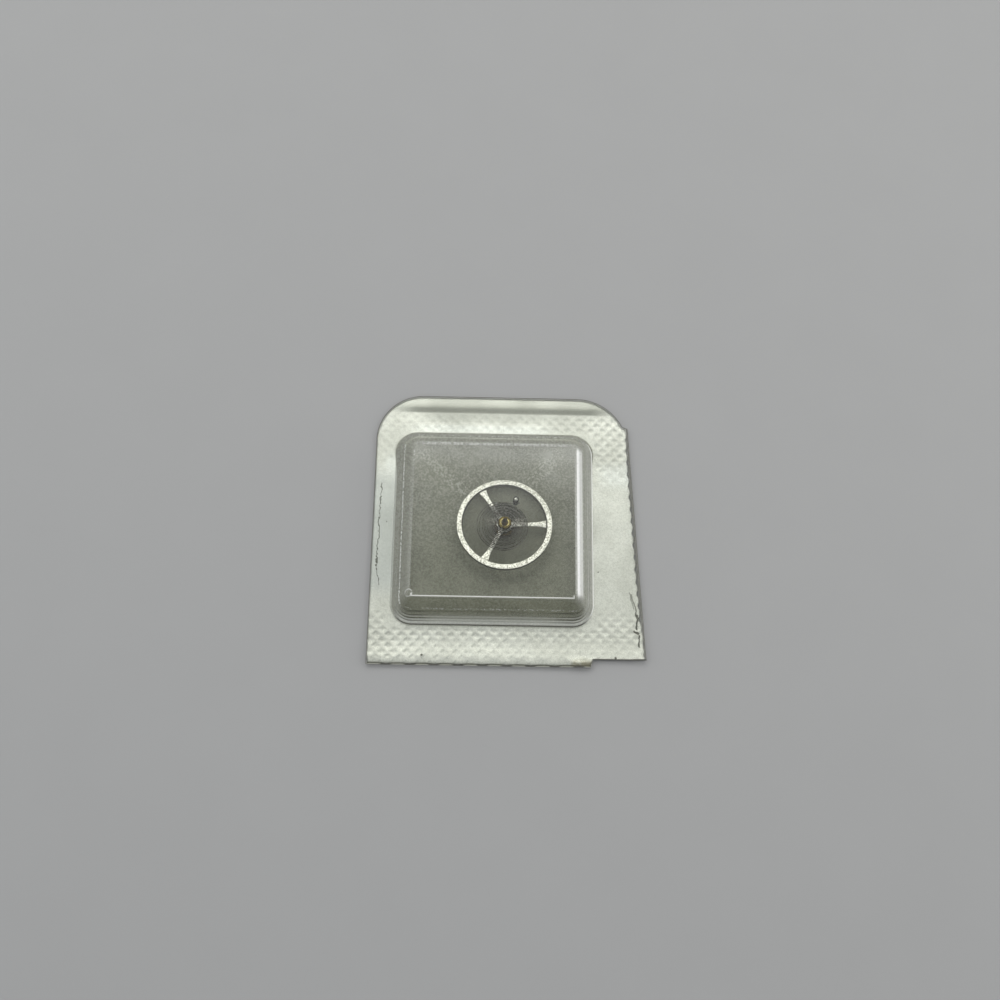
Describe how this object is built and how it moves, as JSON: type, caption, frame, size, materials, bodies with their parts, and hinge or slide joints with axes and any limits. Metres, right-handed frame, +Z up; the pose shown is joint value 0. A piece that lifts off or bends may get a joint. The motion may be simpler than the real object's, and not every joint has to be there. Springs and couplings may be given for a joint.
{
  "type": "watch balance complete in a sealed clear cell",
  "caption": "Smooth-rimmed watch balance with flared arms, staff, rollers, collet, hairspring and stud, loose in a clear stepped cell sealed on embossed foil.",
  "frame": {"origin": "middle of the card's underside, on the surface that it lies on", "axes": "+Z up through the card, +Y towards the card's rounded far edge, +X to the right seen from above with +Y away"},
  "size_m": [0.0286, 0.0294, 0.0037],
  "materials": {
    "lidding_foil": "satin, embossed where it is sealed",
    "clear_film": "clear, glossy, lightly grained",
    "wheel_metal": "pale plated metal, fine grained",
    "polished_steel": "hardened and polished",
    "gilt_metal": "gilt, polished",
    "ruby": "polished",
    "pin_brass": "drawn",
    "dark_steel": "blued dark, polished",
    "spring_alloy": "rolled strip, dark grey"
  },
  "bodies": {
    "backing": {"foil_backing": "lidding_foil"},
    "cell": {"blister_cell": "clear_film"},
    "spring_anchor": {"stud": "dark_steel", "stud_pin": "dark_steel", "hairspring": "spring_alloy"},
    "balance": {"balance_wheel": "wheel_metal", "balance_staff": "polished_steel", "roller_table": "gilt_metal", "safety_roller": "gilt_metal", "impulse_jewel": "ruby", "collet": "gilt_metal", "collet_pin": "pin_brass"}
  },
  "joints": [
    {"name": "cell_open", "type": "hinge", "parent": "backing", "child": "cell", "pos_m": [0, -0.01465, 0.00012], "axis": [1, 0, 0], "range_deg": [0, 110]},
    {"name": "balance_shift", "type": "slide", "parent": "backing", "child": "spring_anchor", "axis": [1, 0, 0], "range_m": [-0.0052, 0.0029]},
    {"name": "balance_swing", "type": "hinge", "parent": "spring_anchor", "child": "balance", "pos_m": [-0.00043, -0.00018, 0.00015], "axis": [0.0255, 0.1103, 0.9936], "range_deg": [-300, 300], "stiffness_Nm_per_rad": 0.00000095, "deforming": ["hairspring"]}
  ]
}
